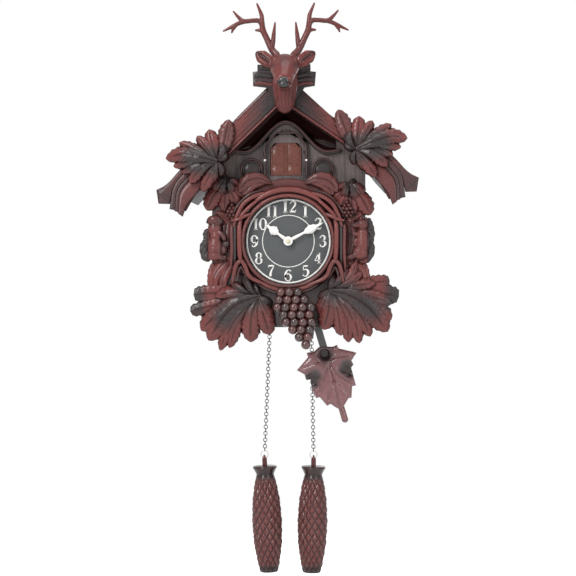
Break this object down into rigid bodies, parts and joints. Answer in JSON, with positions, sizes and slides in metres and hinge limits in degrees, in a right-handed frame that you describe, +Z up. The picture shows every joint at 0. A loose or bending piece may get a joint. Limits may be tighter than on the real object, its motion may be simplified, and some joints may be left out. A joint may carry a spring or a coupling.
{
  "type": "cuckoo clock",
  "caption": "Wall cuckoo clock with a peaked roof, stag's head, vine leaves, round dial, opening doors with a sliding bird, swinging leaf pendulum and two cone weights on chains.",
  "frame": {"origin": "centre of the round hanging hole on the wall plane (the back face of the back board)", "axes": "+Z up, +Y into the wall, -Y towards the viewer, +X to the viewer's right"},
  "size_m": [0.312, 0.1569, 0.6834],
  "materials": {
    "mahogany": "moulded carving stained mahogany red, shaded to smoke, satin lacquer",
    "smoked_wood": "moulded wood-grain boards, smoke-black over mahogany, satin",
    "grape_black": "near-black glossy fruit with red rims",
    "dial_black": "matt charcoal dial with printed white numerals",
    "movement_black": "moulded black plastic",
    "motor_steel": "bright steel",
    "cell_foil": "foil sleeve, plain",
    "board_green": "solder-mask green",
    "antique_chain": "antique dark bronze",
    "door_brown": "stained brown, satin",
    "bird_paint": "painted songbird",
    "acetal": "natural white gear plastic",
    "hand_white": "white enamel",
    "rod_black": "dark enamel",
    "switch_red": "red slider"
  },
  "bodies": {
    "case": {"back_board": "smoked_wood", "side_wall_left": "smoked_wood", "side_wall_right": "smoked_wood", "floor_board": "smoked_wood", "front_board": "smoked_wood", "roof_panel_left": "smoked_wood", "roof_panel_right": "smoked_wood", "bargeboard_left": "mahogany", "bargeboard_right": "mahogany", "roof_leaf_left": "mahogany", "roof_leaf_right": "mahogany", "ridge_bracket": "smoked_wood", "stag_head": "mahogany", "antler_left": "smoked_wood", "antler_right": "smoked_wood", "gable_moulding": "mahogany", "doorway_frame": "mahogany", "window_arches": "smoked_wood", "sill_leaves": "mahogany", "dial_frame": "mahogany", "dial_plate": "dial_black", "squirrel_left": "mahogany", "squirrel_right": "mahogany", "shoulder_leaf_left": "mahogany", "shoulder_leaf_right": "mahogany", "base_leaf_left": "mahogany", "base_leaf_right": "mahogany", "grape_bunch": "grape_black", "movement_case": "movement_black", "movement_cover": "movement_black", "stepper_motor": "motor_steel", "clock_battery": "cell_foil", "bushing_nut": "movement_black", "pendulum_drive": "movement_black", "bird_rail": "movement_black", "cuckoo_motor": "motor_steel", "circuit_board": "board_green", "speaker": "movement_black", "battery_box": "movement_black", "battery_cells": "cell_foil", "chain_hooks": "antique_chain", "case_screws": "motor_steel"},
    "door_left": {"door_left": "door_brown"},
    "door_right": {"door_right": "door_brown"},
    "bird": {"bird": "bird_paint", "bird_carriage": "acetal"},
    "drive_pinion": {"drive_pinion": "acetal"},
    "minute": {"minute_hand": "hand_white", "minute_arbor": "acetal"},
    "hour": {"hour_hand": "hand_white", "hour_wheel": "acetal"},
    "setting": {"setting_wheel": "acetal"},
    "pendulum": {"pendulum_rod": "rod_black", "pendulum_leaf": "mahogany"},
    "chain_left": {"chain_left": "antique_chain"},
    "chain_right": {"chain_right": "antique_chain"},
    "weight_left": {"weight_left": "mahogany"},
    "weight_right": {"weight_right": "mahogany"},
    "battery_hatch": {"battery_hatch": "smoked_wood"},
    "volume_switch": {"volume_switch": "switch_red"}
  },
  "joints": [
    {"name": "bird_slide", "type": "slide", "parent": "case", "child": "bird", "axis": [0, -1, 0], "range_m": [0, 0.034]},
    {"name": "door_left_swing", "type": "hinge", "parent": "case", "child": "door_left", "pos_m": [-0.0204, -0.06435, -0.045], "axis": [0, 0, -1], "range_deg": [0, 90.5]},
    {"name": "door_right_swing", "type": "hinge", "parent": "case", "child": "door_right", "pos_m": [0.0144, -0.06435, -0.045], "axis": [0, 0, 1], "range_deg": [0, 90.5]},
    {"name": "drive_pinion_spin", "type": "hinge", "parent": "case", "child": "drive_pinion", "pos_m": [-0.003, -0.05, -0.0664], "axis": [1, 0, 0], "range_deg": [0, 244]},
    {"name": "minute_spin", "type": "hinge", "parent": "case", "child": "minute", "pos_m": [0, -0.07, -0.139], "axis": [0, 1, 0], "continuous": true},
    {"name": "hour_spin", "type": "hinge", "parent": "case", "child": "hour", "pos_m": [0, -0.07, -0.139], "axis": [0, 1, 0], "continuous": true},
    {"name": "setting_spin", "type": "hinge", "parent": "case", "child": "setting", "pos_m": [-0.013, -0.05, -0.139], "axis": [0, 1, 0], "continuous": true},
    {"name": "pendulum_swing", "type": "hinge", "parent": "case", "child": "pendulum", "pos_m": [0, -0.04, -0.128], "axis": [0, 1, 0], "range_deg": [-2, 34]},
    {"name": "chain_left_swing", "type": "hinge", "parent": "case", "child": "chain_left", "pos_m": [-0.0256, -0.022, -0.25], "axis": [0, 1, 0], "range_deg": [-3, 12]},
    {"name": "chain_right_swing", "type": "hinge", "parent": "case", "child": "chain_right", "pos_m": [0.0256, -0.022, -0.25], "axis": [0, 1, 0], "range_deg": [-12, 1.6]},
    {"name": "weight_left_swing", "type": "hinge", "parent": "chain_left", "child": "weight_left", "pos_m": [-0.03202, -0.022, -0.40316], "axis": [0, 1, 0], "range_deg": [-2.5, 6]},
    {"name": "weight_right_swing", "type": "hinge", "parent": "chain_right", "child": "weight_right", "pos_m": [0.02828, -0.022, -0.40327], "axis": [0, 1, 0], "range_deg": [-6, 2.5]},
    {"name": "battery_hatch_lift", "type": "slide", "parent": "case", "child": "battery_hatch", "axis": [0, 1, 0], "range_m": [0, 0.04]},
    {"name": "volume_switch_slide", "type": "slide", "parent": "case", "child": "volume_switch", "axis": [0, 0, 1], "range_m": [-0.003, 0.003]}
  ],
  "couplings": [
    {"joint": "door_left_swing", "follows": "bird_slide", "rad_per_m": 46.2},
    {"joint": "door_right_swing", "follows": "bird_slide", "rad_per_m": 46.2},
    {"joint": "drive_pinion_spin", "follows": "bird_slide", "rad_per_m": 125},
    {"joint": "hour_spin", "follows": "minute_spin", "ratio": 0.083333},
    {"joint": "setting_spin", "follows": "minute_spin", "ratio": -0.33333}
  ]
}
